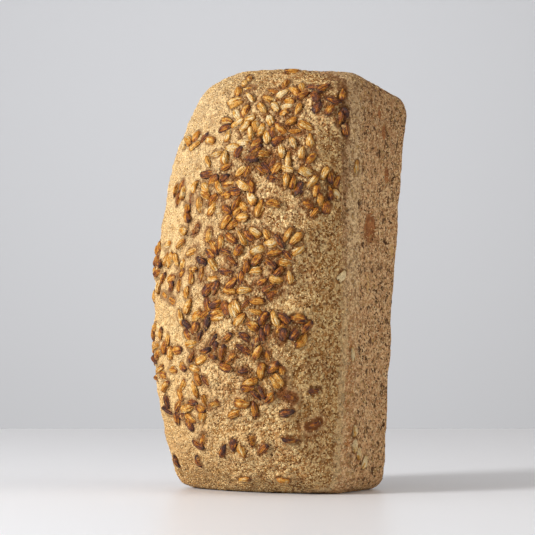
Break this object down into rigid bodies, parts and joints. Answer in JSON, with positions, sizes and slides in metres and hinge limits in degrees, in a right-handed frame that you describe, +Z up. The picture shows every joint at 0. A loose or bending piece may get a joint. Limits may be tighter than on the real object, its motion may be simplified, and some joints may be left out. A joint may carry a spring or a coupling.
{
  "type": "sprouted grain sourdough loaf",
  "caption": "Tin loaf of sprouted grain sourdough standing on one end, its domed crust strewn with toasted sunflower kernels.",
  "frame": {"origin": "middle of the loaf's box, on the surface that the loaf stands on", "axes": "+Z up along the loaf's length, -Y the domed top crust, +Y the side that lay on the tin's bottom, +X the side wall seen in the picture"},
  "size_m": [0.1155, 0.1136, 0.2213],
  "materials": {
    "crust": "matt baked wholegrain crust, fine bran specks; cardboard stands in for bread"
  },
  "bodies": {
    "root": {"loaf": "crust"}
  },
  "joints": []
}
